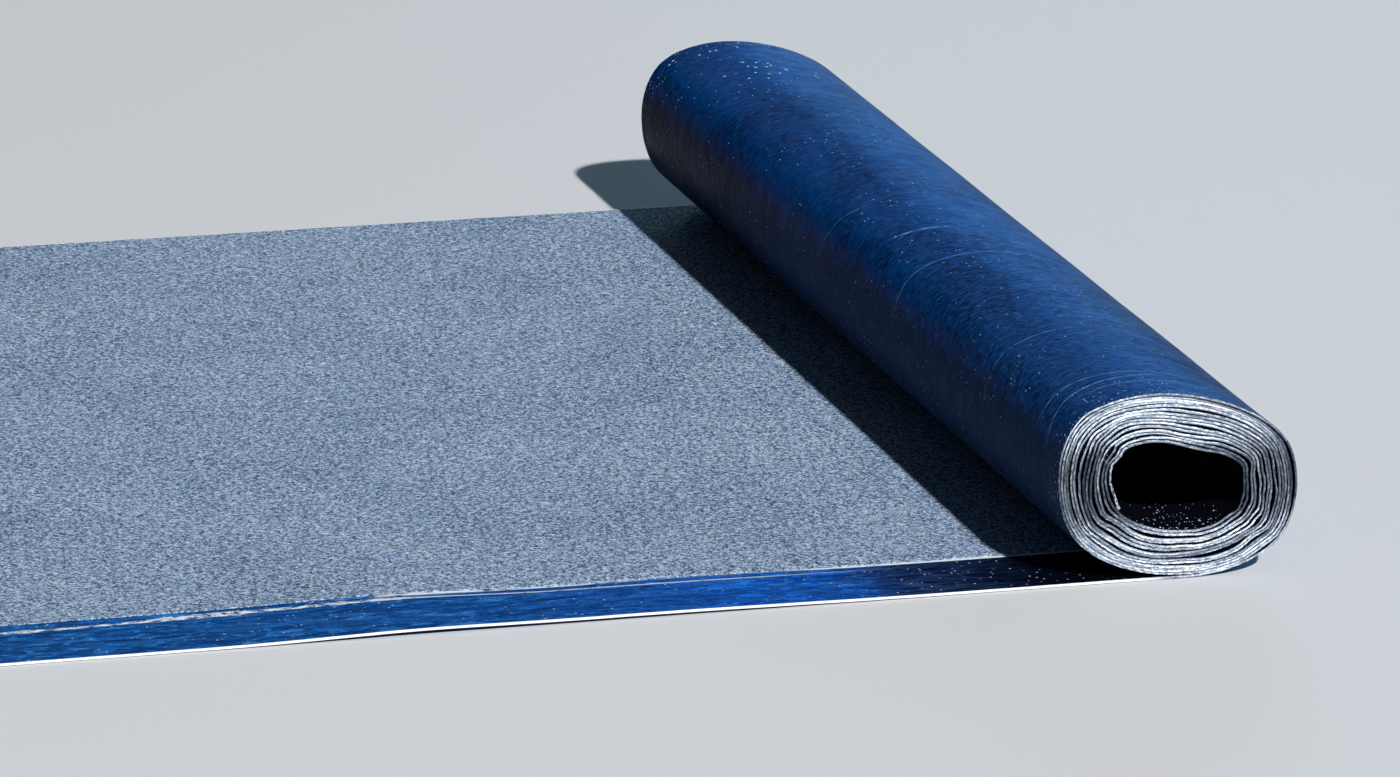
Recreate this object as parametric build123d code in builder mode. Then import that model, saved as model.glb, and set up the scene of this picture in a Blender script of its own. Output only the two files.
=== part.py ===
"""Roll of mineral-surfaced roofing membrane, part of it laid out on the roof (mm).

The membrane is one long sheet: a stretch of it lies flat, and the rest is still wound into a
loose, slightly crushed roll on top of its end. X is the way the roll travels as it is laid, so
the laid stretch runs to -X. Y is the roll's axis, with the lap edge at -Y, and Z is up. The
origin is on the roof under the middle of the roll.
"""

import os
from math import cos, dist, exp, pi, radians, sin, sqrt

from build123d import *

# The sheet as it is sold
SHEET_LENGTH = 7500.0
SHEET_WIDTH = 1000.0
SHEET_THICKNESS = 2.5  # bitumen sheet with its coat of granules
LAP_WIDTH = 75.0  # strip along the near edge that the next sheet overlaps
LAP_THICKNESS = 2.0  # the strip has no granules
FAR_EDGE_WIDTH = 4.0  # the granules break away along the other cut edge
FAR_EDGE_THICKNESS = 2.05

# How it is wound: outermost turn first, seen from the near end, going anticlockwise inwards
TURNS = 14.83
PITCH = 2.54  # mean distance from one turn to the next

# The oval that the turns are crushed into: its mean radius where the sheet leaves the roof, and
# how far it is flattened, squared and made egg-shaped there and at the innermost turn
ROLL_RADIUS = 79.9
FLATTENING = (11.3, 8.3)
LEAN = radians(12.5)
SQUARENESS = (2.2, 1.2)
SQUARE_LEAN = radians(4)
EGG = (1.2, 0.6)
EGG_LEAN = radians(1)

# Creases of the innermost turns: direction from the middle, spread, and how far they push out
CREASES = [
    (radians(73), radians(17), -5.0),
    (radians(31), radians(16), 2.8),
    (radians(164), radians(17), 2.8),
]
CREASE_FADE = 10.0  # turns outwards over which a crease dies down

# The arcs that the turns are drawn with: each is short enough that it can be cut into three
# straight stretches with no more than this rise
STRETCHES = 3
STRETCH_RISE = 0.4
STRETCH_SPAN = 0.28
CREASED_TURNS = 4.0  # innermost turns, drawn with shorter arcs
CREASED_SPAN = 0.07

TURN = 2 * pi
INNER_END = TURNS * TURN
NUDGE = 1e-4  # angle over which a slope is measured


def crease(angle, winding):
    """How far the creases push the sheet out from its smooth oval."""
    push = 0.0
    for direction, spread, depth in CREASES:
        away = (angle - direction + pi) % TURN - pi
        push += depth * exp(-((away / spread) ** 2))
    return push * exp((winding - INNER_END) / TURN / CREASE_FADE)


def oval(angle, winding):
    """Distance from the roll's middle to the sheet's tangent line that faces this way."""

    def faded(values):
        return values[0] + (values[1] - values[0]) * winding / INNER_END

    return (
        ROLL_RADIUS
        - PITCH * winding / TURN
        + faded(FLATTENING) * cos(2 * (angle + LEAN))
        - faded(SQUARENESS) * cos(4 * (angle + SQUARE_LEAN))
        + faded(EGG) * cos(3 * (angle - EGG_LEAN))
    )


def sheet_point(winding, depth=0.0):
    """Point on the wound sheet's outer face, or as far inside it as depth says.

    winding is the angle wound so far, from 0 where the sheet leaves the roof.
    """
    angle = winding - pi / 2
    slope = (oval(angle + NUDGE, winding + NUDGE) - oval(angle - NUDGE, winding - NUDGE)) / NUDGE / 2
    distance = oval(angle, winding) - depth + crease(angle, winding)
    return (
        distance * cos(angle) - slope * sin(angle),
        oval(-pi / 2, 0) + distance * sin(angle) + slope * cos(angle),
    )


def arc_breaks(start, end):
    """Winding angles where the arcs of the turns meet, closer together where they bend less."""
    breaks = [start]
    while breaks[-1] < end:
        here = breaks[-1]
        creased = INNER_END - here < CREASED_TURNS * TURN
        span = CREASED_SPAN if creased else STRETCH_SPAN
        radius = dist(sheet_point(here), sheet_point(here + span)) / span
        breaks.append(here + STRETCHES * min(span, sqrt(8 * STRETCH_RISE / radius)))
    return [*breaks[:-1], end]


def nip_winding():
    """Where the outermost turn comes back down onto the laid sheet."""
    low, high = TURN * 0.75, TURN
    while high - low > 1e-9:
        middle = (low + high) / 2
        if sheet_point(middle)[1] > SHEET_THICKNESS:
            low = middle
        else:
            high = middle
    return low


def wound_length():
    steps = round(INNER_END / radians(1))
    path = [sheet_point(INNER_END * i / steps, SHEET_THICKNESS / 2) for i in range(steps + 1)]
    return sum(dist(a, b) for a, b in zip(path, path[1:]))


def turns(breaks, depth=0.0):
    """Arcs along the wound sheet."""
    return [
        ThreePointArc(*(sheet_point(w, depth) for w in (a, (a + b) / 2, b)), mode=Mode.PRIVATE)
        for a, b in zip(breaks, breaks[1:])
    ]


NIP = nip_winding()
OVERLAID = arc_breaks(0, INNER_END - TURN)  # the sheet's inner face, where a turn lies on it
BORE = arc_breaks(INNER_END - TURN, INNER_END)  # and where it is the wall of the bore
FOOT_X = sheet_point(0)[0]
LAID_END_X = FOOT_X - (SHEET_LENGTH - wound_length())


def strip_gaps(thickness):
    """Everything above and between the turns of an edge strip that is as thick as this."""
    with BuildSketch() as gaps:
        with BuildLine():
            Polyline(
                sheet_point(NIP),
                (LAID_END_X, SHEET_THICKNESS),
                (LAID_END_X, thickness),
                (FOOT_X, thickness),
            )
            Line(sheet_point(INNER_END, thickness), sheet_point(INNER_END))
            add(turns(OVERLAID + BORE[1:], thickness) + turns([NIP] + [b + TURN for b in OVERLAID]))
        make_face()
    return gaps.sketch


with BuildPart() as membrane:
    # Section of the whole sheet: the laid stretch, and the roll with its bore
    with BuildSketch(Plane.XZ):
        with BuildLine():
            Polyline(
                (FOOT_X, 0),
                (LAID_END_X, 0),
                (LAID_END_X, SHEET_THICKNESS),
                sheet_point(NIP),
            )
            add(turns([b for b in OVERLAID if b < NIP] + [NIP]))
        make_face()
        with BuildLine():
            add(turns(BORE, SHEET_THICKNESS))
            Line(*(sheet_point(b, SHEET_THICKNESS) for b in (BORE[-1], BORE[0])))
        make_face(mode=Mode.SUBTRACT)
    extrude(amount=SHEET_WIDTH / 2, both=True)

    # The thinner strip along the near edge, with open gaps between its turns
    with BuildSketch(Plane.XZ.offset(SHEET_WIDTH / 2)):
        add(strip_gaps(LAP_THICKNESS))
    extrude(amount=-LAP_WIDTH, mode=Mode.SUBTRACT)

    # The far edge, where only the outermost few millimetres have lost their granules
    with BuildSketch(Plane.XZ.offset(-SHEET_WIDTH / 2)):
        add(strip_gaps(FAR_EDGE_THICKNESS))
    extrude(amount=FAR_EDGE_WIDTH, mode=Mode.SUBTRACT)

membrane.part.label = "membrane"

os.makedirs("parts", exist_ok=True)
export_step(membrane.part, "parts/membrane.step")
print(f"wound {wound_length():.0f} mm, laid {FOOT_X - LAID_END_X:.0f} mm, from x {LAID_END_X:.0f}")
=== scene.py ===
"""Looks of a roll of roofing membrane: a granule-faced sheet, part laid out and part wound.

The sheet is worked out flat, in millimetres, and roll_up() turns each point into the frame's
metres. "Along" runs from the laid end to the inner end, "across" from the lap edge at the negative
side to the far edge, and "depth" from the film on its back up to the granules on its face.
"""

import random
from bisect import bisect_left
from functools import cache
from itertools import accumulate
from math import cos, dist, exp, floor, pi, radians, sin

import bmesh
import bpy
from mathutils import Matrix, Vector, noise


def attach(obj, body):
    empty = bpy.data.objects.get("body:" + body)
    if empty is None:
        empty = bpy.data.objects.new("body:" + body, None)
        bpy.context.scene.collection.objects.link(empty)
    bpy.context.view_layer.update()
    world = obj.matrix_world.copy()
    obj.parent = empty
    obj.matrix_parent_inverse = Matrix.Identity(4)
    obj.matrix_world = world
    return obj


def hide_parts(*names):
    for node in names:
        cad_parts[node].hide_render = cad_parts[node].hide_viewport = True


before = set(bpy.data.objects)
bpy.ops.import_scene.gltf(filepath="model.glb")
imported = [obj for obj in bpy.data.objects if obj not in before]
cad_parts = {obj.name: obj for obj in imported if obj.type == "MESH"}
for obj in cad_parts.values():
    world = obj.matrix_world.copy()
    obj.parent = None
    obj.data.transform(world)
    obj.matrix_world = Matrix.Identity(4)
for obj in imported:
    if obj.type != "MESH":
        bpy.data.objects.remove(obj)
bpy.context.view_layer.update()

MM = 0.001
TURN = 2 * pi

# The sheet and the way it is wound, as in the part's source
SHEET_LENGTH = 7500.0
TURNS, PITCH, ROLL_RADIUS = 14.83, 2.54, 79.9
FLATTENING, LEAN = (11.3, 8.3), radians(12.5)
SQUARENESS, SQUARE_LEAN = (2.2, 1.2), radians(4)
EGG, EGG_LEAN = (1.2, 0.6), radians(1)
CREASES = [
    (radians(73), radians(17), -5.0),
    (radians(31), radians(16), 2.8),
    (radians(164), radians(17), 2.8),
]
CREASE_FADE = 10.0
INNER_END = TURNS * TURN
NUDGE = 1e-4  # angle over which a slope is measured
MID_DEPTH = 1.25  # where the sheet's length is measured
TABLE_STEP = radians(0.5)  # and how often, on the way round

# The visible surfaces, a little inside the solid's outline
INSIDE = 0.1
THICK, LAP_THICK, TORN_THICK = 2.42, 1.8, 1.9  # granule field, lap strip, far edge
NEAR, FAR = -499.4, 499.4  # the cut edges
LAP_EDGE, TORN_EDGE = -425.0, 496.2  # where the granules begin and end
KEPT_IN = 0.9985  # share of the width that keeps the wandering edges inside the solid
END_INSET = 0.6  # how far the laid end is kept inside it

# How the turns lie at the near edge. Gaps between the lap strip's turns, outermost first
GAPS = [0.80, 0.05, 0.04, 0.06, 1.25, 0.25, 1.35, 0.10, 1.45, 0.65, 1.30, 0.20, 1.70, 0.45]
GAPS += [0.50, 0.50]
EVEN_GAP = PITCH - LAP_THICK
GAP_UNEVEN = 2.2  # how strongly the gaps swell and close around the roll
LENS_ANGLE, LENS_SPREAD = radians(171), radians(17)  # one wide gap, at the left
LENS_TURN, LENS_TURN_SPREAD, LENS_GAP = 7.0, 0.5, 2.9
KINK_ANGLE, KINK_SPREAD = radians(-12), radians(42)
SAG_ANGLE, SAG_SPREAD, SAG_DEPTH = radians(149), radians(20), 3.8
FOLD_SHIFT = 3.7  # how far the folds move on from one turn to the next
FOLDS = [(2.6, 8.0, 0), (1.7, 3.6, 7)]  # strength, length and start of two sets of sharp folds
SMEAR = 0.12  # the cut plies are squeezed thicker at the top and bottom and thinner at the sides
SLIP = 0.22  # how far the inner end has slipped round since it was wound tight
SLIPPED = 4.0  # angle of the winding that the slip is spread over

# Where the laid stretch's long edges rise off the roof: how high, the middle and the spread along
# X, and from where across the sheet up to where it grows
LIFTS = [
    (2.3, -535, 85, -250, -430),
    (1.8, -370, 130, -250, -430),
    (1.6, -1350, 260, 250, 470),
    (1.3, -1500, 230, -300, -450),
]

# Rows of the flat grid across the sheet, close together where it is cut or changes thickness
NEAR_ROWS = [NEAR, NEAR + 1.2, NEAR + 2.6, -493, -485, -472, -458, -444, -433]
NEAR_ROWS += [LAP_EDGE - 0.6, LAP_EDGE + 0.5, -418]
MIDDLE_ROWS = [*range(-380, 371, 50)]
INNER_ROWS = [-300, -150, 0, 150, 300]  # where no view reaches
FAR_ROWS = [418, 450, 475, 488, TORN_EDGE - 0.5, TORN_EDGE + 0.5, FAR]
ALL_ROWS = NEAR_ROWS + MIDDLE_ROWS + FAR_ROWS
BURIED_START = 60  # length past the outer turn after which no view reaches the sheet's middle

# The cut edges' broken corners
EDGE_BAND = 498.5  # only the cut edges lie farther out than this
CORNER = 0.84  # how far a broken corner reaches down the cut
CORNER_SLANT = 0.18  # how far it leans in, as a share of that
SHARP = 0.45  # angle past which an edge isn't shaded smooth

FILM, GRANULES, LAP, CUT = range(4)  # materials of a length of the sheet


def wrapped(angle):
    """The same direction, given as less than half a turn either way."""
    return (angle + pi) % TURN - pi


def facing(winding):
    """Which way the sheet faces once it is wound this far."""
    return wrapped(winding - pi / 2)


def smooth(low, high, value):
    """An eased step from 0 at low to 1 at high."""
    share = min(max((value - low) / (high - low), 0.0), 1.0)
    return share * share * (3 - 2 * share)


def swell(value, middle, spread):
    """A smooth hump that is 1 high at its middle."""
    return exp(-(((value - middle) / spread) ** 2))


def ripple(along, length, row, layer):
    """Random waves of about this length. Row and layer tell one set of them from another."""
    return noise.noise(Vector((along / length, row, layer)))


def bent(knot):
    """Straight stretches between random offsets at the whole numbers."""
    i = floor(knot)
    first, second = (noise.noise(Vector((k * 0.73 + 0.31, k * 1.37, 4.7))) for k in (i, i + 1))
    return first + (second - first) * (knot - i)


def crease(angle, winding):
    push = sum(depth * swell(wrapped(angle - at), 0, spread) for at, spread, depth in CREASES)
    return push * exp((winding - INNER_END) / TURN / CREASE_FADE)


def oval(angle, winding):
    """Distance from the roll's middle to the sheet's tangent line that faces this way."""

    def faded(values):
        return values[0] + (values[1] - values[0]) * winding / INNER_END

    return (
        ROLL_RADIUS
        - PITCH * winding / TURN
        + faded(FLATTENING) * cos(2 * (angle + LEAN))
        - faded(SQUARENESS) * cos(4 * (angle + SQUARE_LEAN))
        + faded(EGG) * cos(3 * (angle - EGG_LEAN))
    )


def sheet_point(winding, depth=0.0):
    """Point on the wound sheet's film side, or as far inside it as depth says."""
    angle = winding - pi / 2
    rise = oval(angle + NUDGE, winding + NUDGE) - oval(angle - NUDGE, winding - NUDGE)
    slope = rise / NUDGE / 2
    distance = oval(angle, winding) - depth + crease(angle, winding)
    return (
        distance * cos(angle) - slope * sin(angle),
        oval(-pi / 2, 0) + distance * sin(angle) + slope * cos(angle),
    )


def wound_table():
    """Winding angles, and the length of the sheet that is wound up to each of them."""
    steps = round(INNER_END / TABLE_STEP)
    windings = [INNER_END * i / steps for i in range(steps + 1)]
    middles = [sheet_point(w, MID_DEPTH) for w in windings]
    return windings, [0.0, *accumulate(dist(a, b) for a, b in zip(middles, middles[1:]))]


WINDINGS, LENGTHS = wound_table()
LAID = SHEET_LENGTH - LENGTHS[-1]  # length of the laid stretch
FOOT_X = sheet_point(0)[0]


def looked_up(value, knots, results):
    """Result for a value that lies between two rising knots of a table."""
    i = min(max(bisect_left(knots, value), 1), len(knots) - 1)
    share = (value - knots[i - 1]) / (knots[i] - knots[i - 1])
    return results[i - 1] + share * (results[i] - results[i - 1])


def winding_at(along):
    return looked_up(min(max(along - LAID, 0.0), LENGTHS[-1]), LENGTHS, WINDINGS)


def length_at(winding):
    return LAID + looked_up(winding, WINDINGS, LENGTHS)


NIP_LENGTH = length_at(TURN)  # from here on the sheet is covered by the outer turn
BORE_LENGTH = length_at(INNER_END - TURN * 1.1)  # from here on the sheet is the bore's wall
TORN_TIP = length_at(TURN * 7 + radians(238))  # a torn bit of the cut edge, at the upper left


def gap(turn, angle):
    i = min(floor(turn), len(GAPS) - 2)
    base = GAPS[i] + (GAPS[i + 1] - GAPS[i]) * (turn - i)
    where = Vector((cos(angle) * 2.1, sin(angle) * 2.1, turn * 1.1))
    base *= max(1 + GAP_UNEVEN * noise.noise(where), 0.05)
    lens = swell(wrapped(angle - LENS_ANGLE), 0, LENS_SPREAD)
    return base + LENS_GAP * lens * swell(turn, LENS_TURN, LENS_TURN_SPREAD)


@cache
def fitted_gaps(first, angle):
    """Gaps at one place around the roll, outermost first, fitted between outline and bore."""
    turns_here = [first + i for i in range(len(GAPS) - 1)]
    gaps = [gap(turn, angle) for turn in turns_here]
    counted = [smooth(0, 1, t) * (1 - smooth(TURNS - 2, TURNS - 1, t)) for t in turns_here]
    fit = EVEN_GAP * sum(counted) / sum(c * g for c, g in zip(counted, gaps))
    return [g * fit for g in gaps]


@cache
def drift(winding):
    """How far out of its even place the near edge of a turn lies, outwards."""
    turn = winding / TURN
    first = turn - floor(turn)
    # Eased in, so that nothing jumps where one more gap is counted
    moved = (EVEN_GAP - fitted_gaps(0.0, -pi / 2)[0]) * smooth(0.55, 1.0, first)
    return moved + sum(EVEN_GAP - g for g in fitted_gaps(first, facing(winding))[: floor(turn)])


@cache
def kink(winding):
    """Sharp folds of the inner turns, mostly at the right, as far as the gaps leave room."""
    angle = facing(winding)
    turn = winding / TURN
    gaps = fitted_gaps(turn - floor(turn), angle)
    room = min(gaps[max(floor(turn) - 1, 0)], gaps[floor(turn)])
    at_right = 0.36 + 0.64 * swell(angle, KINK_ANGLE, KINK_SPREAD)
    around = floor(turn) * FOLD_SHIFT + (angle + 3) * (ROLL_RADIUS - PITCH * turn)
    folds = sum(strength * bent(around / length + start) for strength, length, start in FOLDS)
    return smooth(3.5, 6, turn) * 0.5 * room * at_right * min(max(folds, -1), 1)


@cache
def sag(winding):
    """The innermost turns hang in a straighter line at the upper left."""
    near = swell(facing(winding), SAG_ANGLE, SAG_SPREAD)
    return -SAG_DEPTH * near * smooth(10.3, 13.8, winding / TURN)


@cache
def crumple(winding):
    """The last of the sheet stands off the turn behind it and is crushed."""
    left = INNER_END + SLIP - winding
    loose = smooth(1.15, 0.75, left) * smooth(0.0, 0.3, left)
    return -loose * (1.5 + 1.6 * bent(winding * 6.1) + 0.9 * bent(winding * 17))


def dent(angle, across):
    """Shallow dents that every turn shares, fading where the roll rests."""
    clear = smooth(-0.75, -0.2, sin(angle))
    broad = noise.noise(Vector((cos(angle) * 1.3, sin(angle) * 1.3, across / 170)))
    small = noise.noise(Vector((cos(angle) * 4, sin(angle) * 4, across / 55 + 9)))
    return -clear * (0.75 * max(broad + 0.15, 0) + 0.25 * max(small, 0))


@cache
def wound_place(along):
    """Winding angle here, the film side's place, and which way is out."""
    winding = winding_at(along)
    winding += SLIP * smooth(INNER_END - SLIPPED, INNER_END, winding)
    angle = winding - pi / 2
    x, z = sheet_point(winding)
    return winding, x, z, cos(angle), sin(angle)


def wandered(along, across, depth):
    """Place across the sheet, once the lap edge and the cut edges wander a little."""
    outward = 1 if across > 0 else -1
    wander = ripple(along, 210, 1, 5) * 0.5 + ripple(along, 31, 4, 5) * 0.2
    wander *= smooth(470, 499, abs(across))
    if abs(across - LAP_EDGE) < 1.5:  # the granules' edge steps towards the lap edge midway
        wander += 4 - 7 * smooth(-560, -420, along - LAID) + 0.5 * ripple(along, 40, 8, 2)
    if TORN_EDGE - 1.5 < across < FAR - 0.8:  # granules have broken away raggedly here
        wander += 0.9 * ripple(along, 6, 2, 9)
    if abs(across) > FAR - 1.5:  # the cut itself is rough, and parts of the turns stand back
        wander += 0.12 * ripple(along, 9, depth * 0.6, 6)
        if along > LAID + 300:
            wander -= outward * max(0.7 + 1.6 * ripple(along, 120, 3, 8), 0)
    return across + wander


def lift(x, across):
    """The laid stretch's long edges rise gently off the roof here and there."""
    return sum(
        height * swell(x, middle, spread) * smooth(start, full, across)
        for height, middle, spread, start, full in LIFTS
    )


def roll_up(along, across, depth):
    """Place of a point of the flat sheet once it is laid and wound, in metres."""
    y = wandered(along, across, depth) * KEPT_IN
    if along <= LAID:
        x = FOOT_X - (LAID - along) + (END_INSET if along < 1 else 0)
        return Vector((x, y, depth + INSIDE + lift(x, across))) * MM
    winding, x, z, out_x, out_z = wound_place(along)
    at_edge = smooth(LAP_EDGE - 1, -497, across)
    depth *= 1 - SMEAR * at_edge * cos(2 * (winding - pi / 2 + LEAN))
    push = -INSIDE - depth + dent(winding - pi / 2, across)
    push += at_edge * (drift(winding) + kink(winding) + sag(winding))
    push += crumple(winding) * (0.35 + 0.65 * smooth(-300, -499, across))
    return Vector((x + push * out_x, y, z + push * out_z)) * MM


def buried(along, across):
    """Whether this part of the sheet lies between turns, out of sight from the ends."""
    return NIP_LENGTH + BURIED_START < along < BORE_LENGTH and NEAR_ROWS[-1] < across < FAR_ROWS[1]


def thickness(across):
    if across < LAP_EDGE:
        return LAP_THICK
    return THICK if across <= TORN_EDGE else TORN_THICK


def even(first, last, step):
    count = max(round((last - first) / step), 1)
    return [first + (last - first) * i / count for i in range(count + 1)]


def on_cut_edge(element):
    return all(abs(v.co.y) > EDGE_BAND for v in element.verts)


def run(edge):
    return edge.verts[1].co - edge.verts[0].co


def fold(edge):
    """Angle between an edge's two faces."""
    return edge.calc_face_angle(0)


def thicken(bm):
    """Turn the flat grid into a sheet with its granules, lap strip and torn far edge."""
    under = bm.faces[:]
    for f in under:
        f.material_index = FILM
    grown = bmesh.ops.extrude_face_region(bm, geom=under, use_keep_orig=True)["geom"]
    for v in (g for g in grown if isinstance(g, bmesh.types.BMVert)):
        v.co.z = thickness(v.co.y)
    for f in (g for g in grown if isinstance(g, bmesh.types.BMFace)):
        across = f.calc_center_median().y
        f.material_index = GRANULES if across > LAP_EDGE - 0.3 else LAP
        if across > TORN_EDGE + 0.3:
            f.material_index = CUT
    bmesh.ops.recalc_face_normals(bm, faces=bm.faces[:])


def cut_edges(bm):
    """Give the sheet's walls their own finish, and the long cuts their broken corners."""
    for f in bm.faces:
        if abs(f.normal.z) < 0.1:
            f.material_index = CUT
    upright = [e for e in bm.edges if on_cut_edge(e) and abs(run(e).z) > 1]
    bmesh.ops.subdivide_edges(bm, edges=upright, cuts=1, use_grid_fill=True)
    rims = [e for e in bm.edges if on_cut_edge(e) and abs(run(e).x) > 0.5 and fold(e) > 1]
    bmesh.ops.bevel(
        bm,
        geom=rims,
        offset=CORNER,
        offset_type="OFFSET",
        affect="EDGES",
        segments=1,
        profile=0.5,
        material=-1,
    )
    for v in bm.verts:
        if abs(v.co.y) > EDGE_BAND:
            v.co.y += (FAR - abs(v.co.y)) * (1 - CORNER_SLANT) * (1 if v.co.y > 0 else -1)
    bm.normal_update()
    for f in bm.faces:
        if on_cut_edge(f) and abs(f.normal.z) < 0.95:
            f.material_index = CUT


def sheet_piece(name, stations, rows, materials, hidden=None):
    """A length of the sheet, made flat and then rolled up. Hidden tells which faces to leave out.

    Its UV map "flat" keeps the flat sheet's own metres, for the finishes.
    """
    bm = bmesh.new()
    spans_x, spans_y = len(stations) - 1, len(rows) - 1
    bmesh.ops.create_grid(bm, x_segments=spans_x, y_segments=spans_y, size=1)
    for v in bm.verts:
        i, j = round((v.co.x + 1) / 2 * spans_x), round((v.co.y + 1) / 2 * spans_y)
        v.co = Vector((stations[i], rows[j], 0))
    if hidden:
        unseen = [f for f in bm.faces if hidden(*f.calc_center_median().xy)]
        bmesh.ops.delete(bm, geom=unseen, context="FACES")
    thicken(bm)
    cut_edges(bm)
    flat = bm.loops.layers.uv.new("flat")
    for f in bm.faces:
        f.smooth = True
        for loop in f.loops:
            loop[flat].uv = (loop.vert.co.x * MM, (loop.vert.co.y + loop.vert.co.z) * MM)
    for e in bm.edges:
        if fold(e) > SHARP:
            e.smooth = False
    for v in bm.verts:
        v.co = roll_up(*v.co)
    add_piece(name, bm, materials)


def new_object(name, bm, materials):
    mesh = bpy.data.meshes.new(name)
    bm.to_mesh(mesh)
    bm.free()
    for material in materials:
        mesh.materials.append(material)
    made = bpy.data.objects.new(name, mesh)
    bpy.context.collection.objects.link(made)
    return made


def add_piece(name, bm, materials):
    piece = new_object(name, bm, materials)
    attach(piece, "root")
    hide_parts("membrane")


class Wire:
    """A number, colour or vector coming out of a node. Arithmetic on it adds Math nodes."""

    def __init__(self, finish, socket):
        self.finish, self.socket = finish, socket

    def _math(self, operation, *values):
        sockets = dict(zip(("Value", "Value_001"), values))
        return self.finish.node("ShaderNodeMath", {"operation": operation}, sockets)

    def __add__(self, other):
        return self._math("ADD", self, other)

    def __radd__(self, other):
        return self._math("ADD", other, self)

    def __sub__(self, other):
        return self._math("SUBTRACT", self, other)

    def __rsub__(self, other):
        return self._math("SUBTRACT", other, self)

    def __mul__(self, other):
        return self._math("MULTIPLY", self, other)

    def __rmul__(self, other):
        return self._math("MULTIPLY", other, self)

    def __truediv__(self, other):
        return self._math("DIVIDE", self, other)

    def __rtruediv__(self, other):
        return self._math("DIVIDE", other, self)

    def __abs__(self):
        return self._math("ABSOLUTE", self)

    def __gt__(self, other):
        return self._math("GREATER_THAN", self, other)

    def __lt__(self, other):
        return self._math("LESS_THAN", self, other)


class Finish:
    """A material whose nodes all come from node()."""

    def __init__(self, name):
        self.material = bpy.data.materials.new(name)
        self.material.use_nodes = True
        self.tree = self.material.node_tree
        self.shader = self.tree.nodes["Principled BSDF"]

    def node(self, kind, settings=None, sockets=None, out=0):
        made = self.tree.nodes.new(kind)
        for name, value in (settings or {}).items():
            if name == "stops":
                ramp = made.color_ramp
                while len(ramp.elements) < len(value):
                    ramp.elements.new(0.5)
                for element, (place, shade) in zip(ramp.elements, value):
                    element.position = place
                    element.color = (*shade, 1)
            else:
                setattr(made, name, value)
        self.plug(made, sockets or {})
        outputs = {s.identifier: s for s in made.outputs}
        return Wire(self, outputs[out] if isinstance(out, str) else made.outputs[out])

    def plug(self, made, sockets):
        inputs = {s.identifier: s for s in made.inputs}
        for name, value in sockets.items():
            if isinstance(value, Wire):
                self.tree.links.new(value.socket, inputs[name])
            else:
                inputs[name].default_value = value

    def wear(self, **sockets):
        self.plug(self.shader, {name.replace("_", " "): v for name, v in sockets.items()})

    def flat(self, along=1.0, across=1.0, shift=0.0):
        """The flat sheet's own coordinates in metres, scaled along and across it."""
        uv = self.node("ShaderNodeUVMap", {"uv_map": "flat"})
        sockets = {"Vector": uv, "Scale": (along, across, 1), "Location": (shift, shift, shift)}
        return self.node("ShaderNodeMapping", None, sockets)

    def part(self, value, axis):
        return self.node("ShaderNodeSeparateXYZ", None, {"Vector": value}, axis)

    def place(self):
        """Where a point lies on the flat sheet: along it and across it, in metres."""
        at = self.flat()
        return self.part(at, "X"), self.part(at, "Y")

    def cloud(self, vector, detail, rough=0.5, distort=0.0):
        """Noise from 0 to 1, spread about 0.5."""
        return self.node(
            "ShaderNodeTexNoise",
            {"noise_dimensions": "2D"},
            {
                "Vector": vector,
                "Scale": 1.0,
                "Detail": detail,
                "Roughness": rough,
                "Distortion": distort,
            },
        )

    def cells(self, vector, out="Distance"):
        settings = {"voronoi_dimensions": "2D"}
        return self.node("ShaderNodeTexVoronoi", settings, {"Vector": vector, "Scale": 1.0}, out)

    def specks(self, density, shift, widest, core, bare, axis="X"):
        """Round specks in random cells, and the random colour of each cell.

        Bare is the share of the cells that hold no speck.
        """
        at = self.flat(density, density, shift)
        tint = self.cells(at, "Color")
        return self.ramp(self.cells(at), widest, core) * (self.part(tint, axis) > bare), tint

    def ramp(self, value, low, high, start=0.0, end=1.0):
        return self.node(
            "ShaderNodeMapRange",
            {"interpolation_type": "SMOOTHSTEP"},
            {"Value": value, "From Min": low, "From Max": high, "To Min": start, "To Max": end},
        )

    def stops(self, value, stops):
        return self.node("ShaderNodeValToRGB", {"stops": stops}, {"Fac": value})

    def clip(self, value):
        return self.node("ShaderNodeClamp", None, {"Value": value})

    def mix(self, share, first, second, blend="MIX"):
        first, second = (c if isinstance(c, Wire) else (*c, 1) for c in (first, second))
        return self.node(
            "ShaderNodeMix",
            {"data_type": "RGBA", "blend_type": blend},
            {"Factor_Float": share, "A_Color": first, "B_Color": second},
            "Result_Color",
        )

    def bump(self, height, distance, strength):
        sockets = {"Height": height, "Distance": distance, "Strength": strength}
        return self.node("ShaderNodeBump", None, sockets)

    def in_bore(self, x):
        """1 where the sheet is the bore's wall."""
        return self.ramp(x, (BORE_LENGTH - 60) * MM, BORE_LENGTH * MM)


# Scratches on the film, in metres on from the foot of the roll and across the sheet, with their
# slope, bow, half length and half width
SCRATCHES = [
    (0.285, -0.4560, -0.15, -1.5, 0.065, 0.0010),
    (0.262, -0.4420, 0.05, -1.0, 0.080, 0.0008),
    (0.240, -0.4660, 0.02, -0.8, 0.070, 0.0007),
    (0.275, -0.1310, 0.00, 0.0, 0.085, 0.0009),
    (0.320, 0.0350, 0.36, 3.0, 0.034, 0.0006),
    (0.262, 0.0355, -0.05, 0.0, 0.030, 0.0004),
    (0.275, -0.0570, 0.10, 0.0, 0.026, 0.0022),
    (0.215, -0.3050, 0.04, 0.4, 0.060, 0.0006),
    (0.300, -0.3350, -0.05, 0.6, 0.055, 0.0006),
    (0.120, -0.2200, 0.05, 0.4, 0.070, 0.0006),
]
FILM_SHEEN = (0.06, 0.32, 0.60, 1)  # tint of the film's reflections where it is seen aslant
LAP_SHEEN = (0.24, 0.56, 1.0, 1)  # and of the lap strip's
LAYING_LINE, RIM = -0.4355, -0.4250  # where they lie across the sheet, in metres
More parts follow.
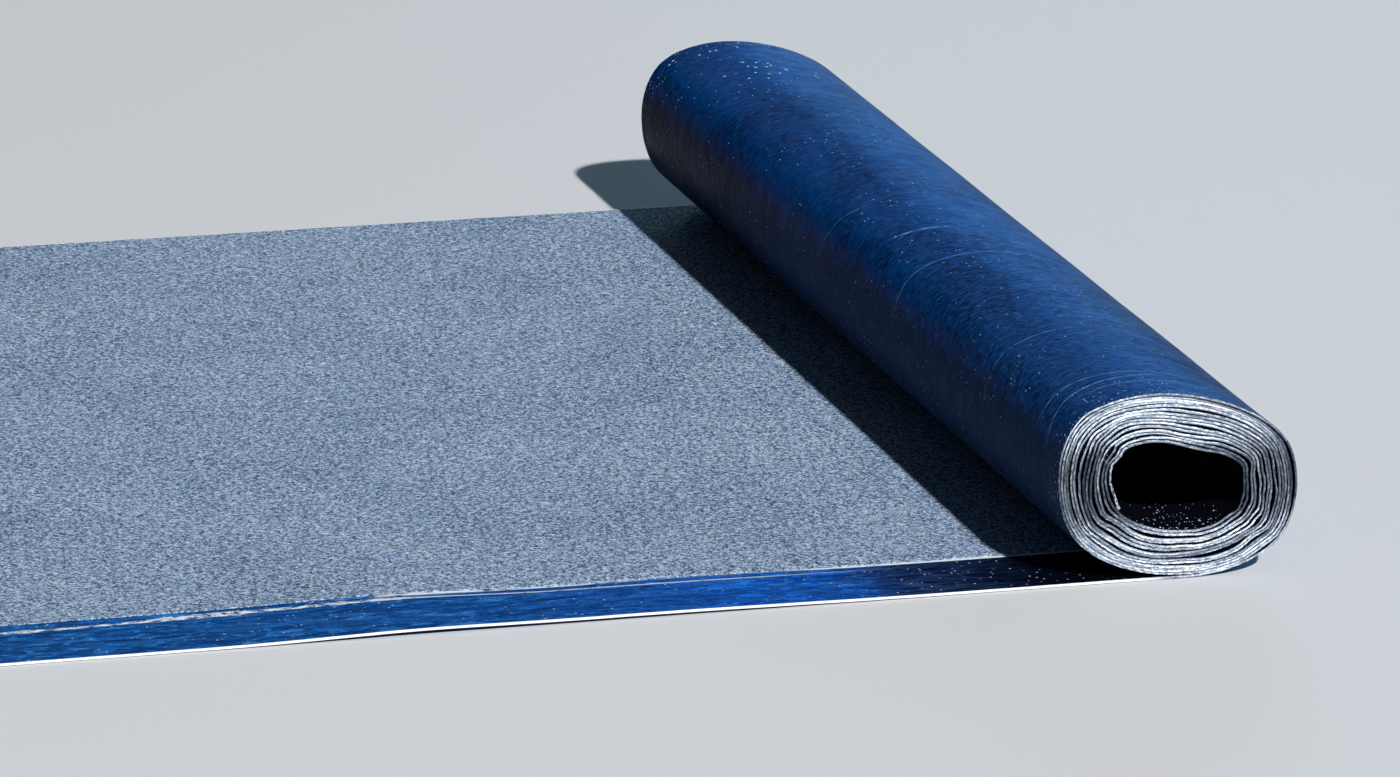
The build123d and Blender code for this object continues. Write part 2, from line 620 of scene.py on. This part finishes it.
STREWN_X, STREWN_Y = 0.242, 0.408  # middle of the strewn grains, placed as the scratches are
MIDDLE_HEIGHT = 0.067  # of the roll


def scratch(finish, x, y, along, across, slope, bow, reach, width):
    """A mask for a thin curved scratch around the roll, placed on the flat sheet."""
    on = x - along
    off = abs(y - across - on * slope - on * on * bow)
    return finish.ramp(off, width, width * 0.25) * finish.ramp(abs(on), reach, reach * 0.6)


def film_finish():
    """Glossy navy film on the sheet's back, which is the outside of the roll."""
    f = Finish("navy_film")
    length, y = f.place()
    x = length - LAID * MM  # on from the foot of the roll

    dashes = f.cloud(f.flat(125, 340), 2, 0.6, 0.2)
    threads = f.cloud(f.flat(60, 420, 2.3), 2, 0.65, 0.2)
    streaks = f.cloud(f.flat(30, 80, 3.1), 3, 0.6, 0.8)
    rubbed = f.ramp(f.cloud(f.flat(9, 5, 1.7), 3, 0.6, 0.6), 0.40, 0.62)
    shade = f.mix(f.ramp(dashes, 0.30, 0.66), (0.0005, 0.014, 0.070), (0.0030, 0.072, 0.270))
    shade = f.mix(f.ramp(streaks, 0.42, 0.66) * 0.28, shade, (0.0006, 0.018, 0.094))
    shade = f.mix(f.ramp(threads, 0.58, 0.72) * rubbed * 0.40, shade, (0.030, 0.180, 0.60))
    shade = f.mix(rubbed * 0.36, shade, (0.003, 0.100, 0.38))

    # Dark and pale ticks, stronger towards the near end, and a little dust there
    ticks = f.cloud(f.flat(140, 640, 5.3), 2, 0.6)
    near = f.ramp(y, 0.22, -0.36, 0.30, 1.0)
    shade = f.mix(f.ramp(ticks, 0.48, 0.36) * near * 0.72, shade, (0.0004, 0.010, 0.050))
    shade = f.mix(f.ramp(ticks, 0.57, 0.68) * near * 0.50, shade, (0.036, 0.200, 0.62))
    shade = f.mix(f.ramp(y, -0.10, -0.44) * 0.09, shade, (0.070, 0.115, 0.20))

    # Painted shade: from the upper left round the flank to the roof the film is painted dull and
    # dark, darker at the far end
    shaded_flank = f.ramp(x + streaks * 0.02, 0.326, 0.356)
    far_flank_shade = f.ramp(y, -0.05, 0.36)
    flank_shade_colour = f.mix(far_flank_shade, (0.028, 0.034, 0.034), (0.003, 0.005, 0.008))
    flank_shade_cover = f.ramp(threads, 0.35, 0.65, 0.54, 0.76) + far_flank_shade * 0.26
    shade = f.mix(shaded_flank * flank_shade_cover, shade, flank_shade_colour)
    # Painted shade: the film under the outer turn, seen only in the gaps between turns, is near
    # black
    painted_shade = f.ramp(length, NIP_LENGTH * MM, NIP_LENGTH * MM + 0.03)
    shade = f.mix(painted_shade * 0.75, shade, (0.002, 0.003, 0.006))

    # Pale specks in drifts, grit beside the cut edges, and grains strewn at the far end
    bare = f.ramp(f.cloud(f.flat(16, 16, 6.4), 3), 0.44, 0.68, 0.992, 0.88)
    specks, tint = f.specks(330, 0.4, 0.27, 0.12, bare)
    specks = specks * f.ramp(f.part(tint, "Y"), 0.3, 1.0, 0.15, 1.0)
    grit, _ = f.specks(420, 1.4, 0.30, 0.16, 0.93, "Z")
    grit = grit * f.ramp(abs(y), 0.478, 0.494)
    strewn = f.ramp(abs(x - STREWN_X) + abs(y - STREWN_Y), 0.060, 0.025)
    strewn = strewn + f.ramp(abs(x - 0.262), 0.060, 0.030) * f.ramp(y, 0.470, 0.478)
    grains, _ = f.specks(215, 2.6, 0.32, 0.15, 1 - f.clip(strewn) * 0.10)
    dust = f.clip(specks + grit + grains)

    marks = sum(scratch(f, x, y, *mark) for mark in SCRATCHES)
    worn = f.ramp(f.cloud(f.flat(150, 520, 8.2), 3, 0.7), 0.34, 0.54) * marks
    shade = f.mix(f.clip(worn) * 0.72, shade, (0.17, 0.42, 0.84))
    height = dashes * 0.9 + streaks * 0.3 + threads * 0.2 + worn * 0.5 + dust
    f.wear(
        Base_Color=f.mix(dust, shade, (0.50, 0.78, 1.0)),
        # less metallic where the flank is painted in shade
        Metallic=(0.28 - 0.16 * shaded_flank) * (1 - f.clip(dust + worn)),
        Roughness=f.ramp(streaks, 0.3, 0.7, 0.32, 0.42),
        Specular_IOR_Level=0.011,
        Specular_Tint=FILM_SHEEN,
        Normal=f.bump(height, 0.0004, 0.42),
    )
    return f.material


def granule_finish():
    """Crushed slate granules pressed into the bitumen, grey-blue with pale and dark chips."""
    f = Finish("slate_granules")
    length, _ = f.place()
    chips = f.flat(780, 780)
    edge, chip = f.cells(chips), f.cells(chips, "Color")
    tone, warmth, gloss = (f.part(chip, axis) for axis in "XYZ")
    clumps = f.cloud(f.flat(230, 230, 2.2), 3, 0.7)
    drifts = f.cloud(f.flat(7, 7, 4.4), 4, 0.6)
    colour = f.stops(
        tone * 0.66 + clumps * 0.80 + drifts * 0.16 - 0.285,
        [
            (0.14, (0.030, 0.050, 0.094)),
            (0.36, (0.134, 0.210, 0.362)),
            (0.52, (0.275, 0.406, 0.652)),
            (0.70, (0.48, 0.665, 0.95)),
            (0.90, (0.86, 0.98, 1.0)),
        ],
    )
    colour = f.mix(f.ramp(edge, 0.45, 0.8) * 0.5, colour, (0.020, 0.032, 0.055))
    colour = f.mix(f.ramp(warmth, 0.5, 0.9) * 0.45, colour, (1.0, 0.92, 0.80), "MULTIPLY")
    # Painted shade: granules on the bore's wall are darkened to near black
    colour = f.mix(f.in_bore(length) * 0.985, colour, (0.006, 0.008, 0.012))
    f.wear(
        Base_Color=colour,
        Roughness=f.ramp(gloss, 0.80, 0.95, 0.88, 0.36),
        Specular_IOR_Level=0.45,
        Normal=f.bump(warmth * 0.7 - edge, 0.0007, 0.8),
    )
    return f.material


def lap_finish():
    """The bare lap strip: blue film whose lighter streaks are painted sky reflections, with the
    laying line along it.
    """
    f = Finish("lap_film")
    length, y = f.place()
    x = length - LAID * MM  # on from the foot of the roll

    # Painted reflection: the lighter waves, fine streaks and glints stand in for the sky mirrored
    # in the film
    waves = f.cloud(f.flat(15, 110, 1.2), 3, 0.7, 1.2)
    fine = f.cloud(f.flat(45, 230, 6.2), 3, 0.65, 0.5)
    glints = f.cloud(f.flat(34, 110, 3.3), 3, 0.7, 1.6)
    shade = f.mix(f.ramp(waves, 0.42, 0.58), (0.028, 0.052, 0.185), (0.092, 0.166, 0.48))
    shade = f.mix(f.ramp(fine, 0.50, 0.66) * 0.5, shade, (0.075, 0.205, 0.60))
    shade = f.mix(f.ramp(glints, 0.55, 0.63) * 0.75, shade, (0.14, 0.40, 0.88))
    # Painted shade: near black on the bore's wall and on the strip just in front of the roll
    inner = f.in_bore(length)
    painted_shade = f.ramp(x, -0.185, -0.085) * 0.92
    shade = f.mix(f.clip(inner + painted_shade), shade, (0.003, 0.004, 0.007))

    # The laying line runs just inside the granules' edge and thins towards the roll
    line_y = f.ramp(x, -0.80, -0.66, 0, 0.0045) - f.ramp(x, -0.56, -0.42, 0, 0.0060) + LAYING_LINE
    thin = f.ramp(x, -0.60, -0.50)
    smear = f.ramp(f.cloud(f.flat(14, 0, 2.9), 3, 0.6), 0.46, 0.66) * (1 - thin)
    line = f.ramp(abs(y - line_y) / (0.0021 + smear * 0.0016 - thin * 0.0010), 1.25, 0.7)
    broken = f.ramp(f.cloud(f.flat(110, 420, 9.1), 3, 0.8) + thin * 0.12, 0.41, 0.53)
    line = line * broken * (1 - thin * 0.22) * f.ramp(x, -0.32, -0.16, 1, 0)

    # The granules' edge shows a pale rim, its own colour with a painted highlight on it, frayed
    # midway and strong near the roll
    frayed = f.ramp(abs(x + 0.47), 0.12, 0.05)
    strong = f.ramp(x, -0.30, -0.19)
    rim = f.ramp(abs(y - RIM) / (0.0022 + frayed * 0.0012 + strong * 0.0028), 1.1, 0.6)
    rim = rim * f.ramp(f.cloud(f.flat(34, 160, 4.9), 3, 0.75) + strong * 0.12, 0.38, 0.52)
    rim = rim * f.clip(f.ramp(x, -0.62, -0.54, 0.0, 0.40) + frayed * 0.55 + strong)

    dots, tint = f.specks(260, 1.4, 0.26, 0.12, f.ramp(x, -0.22, -0.13, 0.955, 0.85))
    dots = dots * f.ramp(f.part(tint, "Y"), 0, 1, 0.3, 1.0)
    pale = f.clip(line + rim + dots * 0.8) * (1 - inner)
    f.wear(
        Base_Color=f.mix(pale, shade, (0.90, 0.97, 1.0)),
        Metallic=0.85 - 0.85 * f.clip(pale + inner),
        Roughness=f.ramp(fine, 0.3, 0.7, 0.18, 0.36) + pale * 0.3,
        Specular_IOR_Level=0.0,
        Specular_Tint=LAP_SHEEN,
        Normal=f.bump(waves * 0.8 + fine * 0.5 + glints * 0.3 + pale * 0.4, 0.0006, 0.5),
    )
    return f.material


def cut_finish():
    """Cut edges: silvery smeared bitumen and carrier, with pale torn flecks."""
    f = Finish("cut_edge")
    length, y = f.place()
    streaks = f.cloud(f.flat(55, 900, 2.5), 4, 0.7)
    flecks = f.cloud(f.flat(260, 850, 6.6), 3, 0.75)
    broad = f.cloud(f.flat(12, 300, 9.4), 3, 0.6)
    plies = f.cloud(f.flat(3.1, 0, 5.2), 2, 0.6)

    # Smeared upwards at the top and the bottom of the roll, where painted light makes the cut
    # lighter
    height = f.part(f.node("ShaderNodeTexCoord", None, None, "Object"), "Z") - MIDDLE_HEIGHT
    lean = 1000 * height * height * height / (height * height + 0.0018)
    top_bottom_painted_light = f.ramp(abs(height), 0.012, 0.052)
    colour = f.stops(
        streaks * 0.55 + broad * 0.75 + flecks * 0.85 + plies * 0.5 + top_bottom_painted_light * 0.09 - 0.87,
        [
            (0.20, (0.014, 0.019, 0.032)),
            (0.36, (0.066, 0.090, 0.138)),
            (0.50, (0.19, 0.23, 0.30)),
            (0.64, (0.42, 0.48, 0.56)),
            (0.78, (0.95, 0.96, 1.0)),
        ],
    )

    # Dark film and bitumen at the two faces of a ply, and a wider dark line in the outer turn
    depth = y - NEAR * MM - (y > 0) * ((FAR - NEAR - 0.2) * MM)
    film_side = f.ramp(depth + (flecks - 0.5) * 0.0008, 0.00030, 0.00014)
    parted = f.ramp(abs(length - LAID * MM - 0.25), 0.13, 0.07) * 0.00050
    granule_side = f.ramp(depth + parted + (flecks + streaks - 1) * 0.0016, 0.00154, 0.00186)
    faces = f.clip(film_side + granule_side) * (depth < 0.0025)
    colour = f.mix(faces * 0.92, colour, (0.004, 0.006, 0.011))

    # Torn pale at the inner end and at one place of the edge, and clean white on the laid edge,
    # partly its own pale colour and partly painted light
    tip = f.ramp(abs(length - TORN_TIP * MM), 0.009, 0.004)
    end = f.ramp(length, (SHEET_LENGTH - 60) * MM, (SHEET_LENGTH - 35) * MM)
    torn = f.ramp(flecks, 0.48, 0.58) * f.clip(end + tip)
    laid = f.ramp(length, (LAID - 5) * MM, (LAID - 40) * MM)
    colour = f.mix(torn, colour, (0.70, 0.74, 0.80))
    colour = f.mix(laid * f.ramp(flecks, 0.25, 0.42, 0.75, 1.0), colour, (0.93, 0.94, 0.96))
    f.wear(
        Base_Color=colour,
        Metallic=0.7 - 0.7 * f.clip(laid + torn),
        Roughness=f.ramp(flecks, 0.3, 0.7, 0.36, 0.46),
        Specular_IOR_Level=1.0,
        Normal=f.bump(streaks * 0.5 + flecks - lean, 0.0005, 1.0),
    )
    return f.material


def loose_finish():
    f = Finish("loose_granules")
    at = f.node("ShaderNodeTexCoord", None, None, "Object")
    spots = f.node("ShaderNodeTexNoise", None, {"Vector": at, "Scale": 900.0, "Detail": 2.0})
    f.wear(
        Base_Color=f.mix(spots, (0.28, 0.33, 0.42), (0.84, 0.90, 0.98)),
        Roughness=f.ramp(spots, 0.4, 0.6, 0.3, 0.7),
    )
    return f.material


def add_sheet():
    """The sheet in four lengths, finer where it is seen close to."""
    finishes = [film_finish(), granule_finish(), lap_finish(), cut_finish()]
    half = LAID / 2
    sheet_piece("membrane_laid_end", even(0, half, 9), ALL_ROWS, finishes)
    sheet_piece("membrane_laid", even(half, LAID, 7), ALL_ROWS, finishes)
    sheet_piece("membrane_outer_turn", even(LAID, NIP_LENGTH, 3.2), ALL_ROWS, finishes)
    inner = even(NIP_LENGTH, SHEET_LENGTH, 3.4)
    rows = NEAR_ROWS + INNER_ROWS + FAR_ROWS
    sheet_piece("membrane_inner_turns", inner, rows, finishes, buried)


GRAINS = 170  # loose granules in the mouth of the bore, and again beside the laying line


def add_loose_granules():
    bm = bmesh.new()
    dice = random.Random(11)

    def drop(along, across, size):
        """Lay a granule on the face of the sheet."""
        face = thickness(across)
        place = roll_up(along, across, face)
        out = (place - roll_up(along, across, face - 1)).normalized()
        made = bmesh.ops.create_icosphere(bm, subdivisions=1, radius=size)
        spin = Matrix.Rotation(dice.uniform(0, TURN), 4, "Z")
        widths = (dice.uniform(0.8, 1.3), dice.uniform(0.6, 1.0), dice.uniform(0.45, 0.7))
        for v in made["verts"]:
            v.co *= dice.uniform(0.8, 1.2)
        tilt = out.to_track_quat("Z", "Y").to_matrix().to_4x4()
        rest = Matrix.Translation(place + out * size * 0.35) @ tilt @ spin
        squash = Matrix.Diagonal((*widths, 1))
        bmesh.ops.transform(bm, matrix=rest @ squash, verts=made["verts"])

    last_turn = (INNER_END - TURN * k / 400 for k in range(400))
    bottom = [w for w in last_turn if abs(facing(w) + pi / 2) < 0.75]
    for _ in range(GRAINS):
        w = min(max(dice.gauss(bottom[len(bottom) // 2] + 0.07, 0.21), bottom[-1]), bottom[0])
        across = NEAR + 3 + dice.random() ** 1.5 * 120
        drop(length_at(w), across, dice.choice((0.25, 0.3, 0.35, 0.45, 0.65)) * MM)
    for _ in range(GRAINS):
        along = LAID - 60 - dice.random() * 1800
        across = LAP_EDGE - 1 - dice.expovariate(1 / 2.5)
        drop(along, max(across, -497), dice.uniform(0.35, 0.7) * MM)
    bmesh.ops.recalc_face_normals(bm, faces=bm.faces[:])
    add_piece("loose_granules", bm, [loose_finish()])


FLOOR_HALF, FLOOR_DROP = 20, 0.0004


def add_floor():
    bm = bmesh.new()
    bmesh.ops.create_grid(bm, x_segments=1, y_segments=1, size=FLOOR_HALF)
    bmesh.ops.translate(bm, verts=bm.verts[:], vec=(0, 0, -FLOOR_DROP))
    f = Finish("pale_floor")
    f.wear(Base_Color=(0.80, 0.81, 0.83, 1), Roughness=0.6)
    new_object("floor", bm, [f.material])


# The camera, at the photograph's viewing angle
CAMERA_PLACE = (-1.9922, -5.8229, 1.8042)
CAMERA_PITCH, CAMERA_YAW, CAMERA_ROLL = 0.28707, 0.30066, 0.02031
LENS, SENSOR = 223.8, 36.0


def add_camera():
    ahead = cos(CAMERA_PITCH)
    forward = Vector((sin(CAMERA_YAW) * ahead, cos(CAMERA_YAW) * ahead, -sin(CAMERA_PITCH)))
    level = Vector((cos(CAMERA_YAW), -sin(CAMERA_YAW), 0))
    upright = level.cross(forward)
    side = level * cos(CAMERA_ROLL) + upright * sin(CAMERA_ROLL)
    top = upright * cos(CAMERA_ROLL) - level * sin(CAMERA_ROLL)
    data = bpy.data.cameras.new("camera")
    data.lens, data.sensor_width = LENS, SENSOR
    camera = bpy.data.objects.new("camera", data)
    turned = Matrix((side, top, -forward)).transposed().to_4x4()
    camera.matrix_world = Matrix.Translation(CAMERA_PLACE) @ turned
    bpy.context.collection.objects.link(camera)
    bpy.context.scene.camera = camera


def add_lamp(name, place, aim, size, share=None, glow=None, colour=(1, 1, 1)):
    """An area lamp, round or of two sides. It lights a surface that faces it at the aim to this
    share of full level, or is itself as bright as glow says, where 1 is white."""
    data = bpy.data.lights.new(name, "AREA")
    data.color = colour
    toward = Vector(aim) - Vector(place)
    if glow is None:
        data.shape, data.size = "DISK", size
        data.energy = pi * pi * toward.length_squared * share
    else:
        data.shape, (data.size, data.size_y) = "RECTANGLE", size
        data.energy = pi * data.size * data.size_y * glow
    lamp = bpy.data.objects.new(name, data)
    lamp.visible_camera = False
    turned = toward.to_track_quat("-Z", "Y").to_matrix().to_4x4()
    lamp.matrix_world = Matrix.Translation(place) @ turned
    bpy.context.collection.objects.link(lamp)


SKY = (0.32, 0.70, 1.0)


def add_lights():
    world = bpy.data.worlds.new("studio")
    world.use_nodes = True
    background = world.node_tree.nodes["Background"]
    background.inputs["Color"].default_value = (0.50, 0.76, 1.0, 1)
    background.inputs["Strength"].default_value = 0.045
    bpy.context.scene.world = world
    add_lamp("key", (5.4, -26.7, 24.3), (-0.2, 0, 0), 1.2, share=1.10)
    add_lamp("strip_panel", (0.95, 8.2, 2.7), (-0.6, 0, 0.1), (2.4, 1.2), glow=1.3)
    add_lamp("roll_panel", (3.5, 8.2, 1.7), (0, 0, 0.1), (2.1, 2.6), glow=3.4, colour=SKY)


add_camera()
add_sheet()
add_loose_granules()
add_floor()
add_lights()

bpy.context.scene.view_settings.view_transform = "Standard"
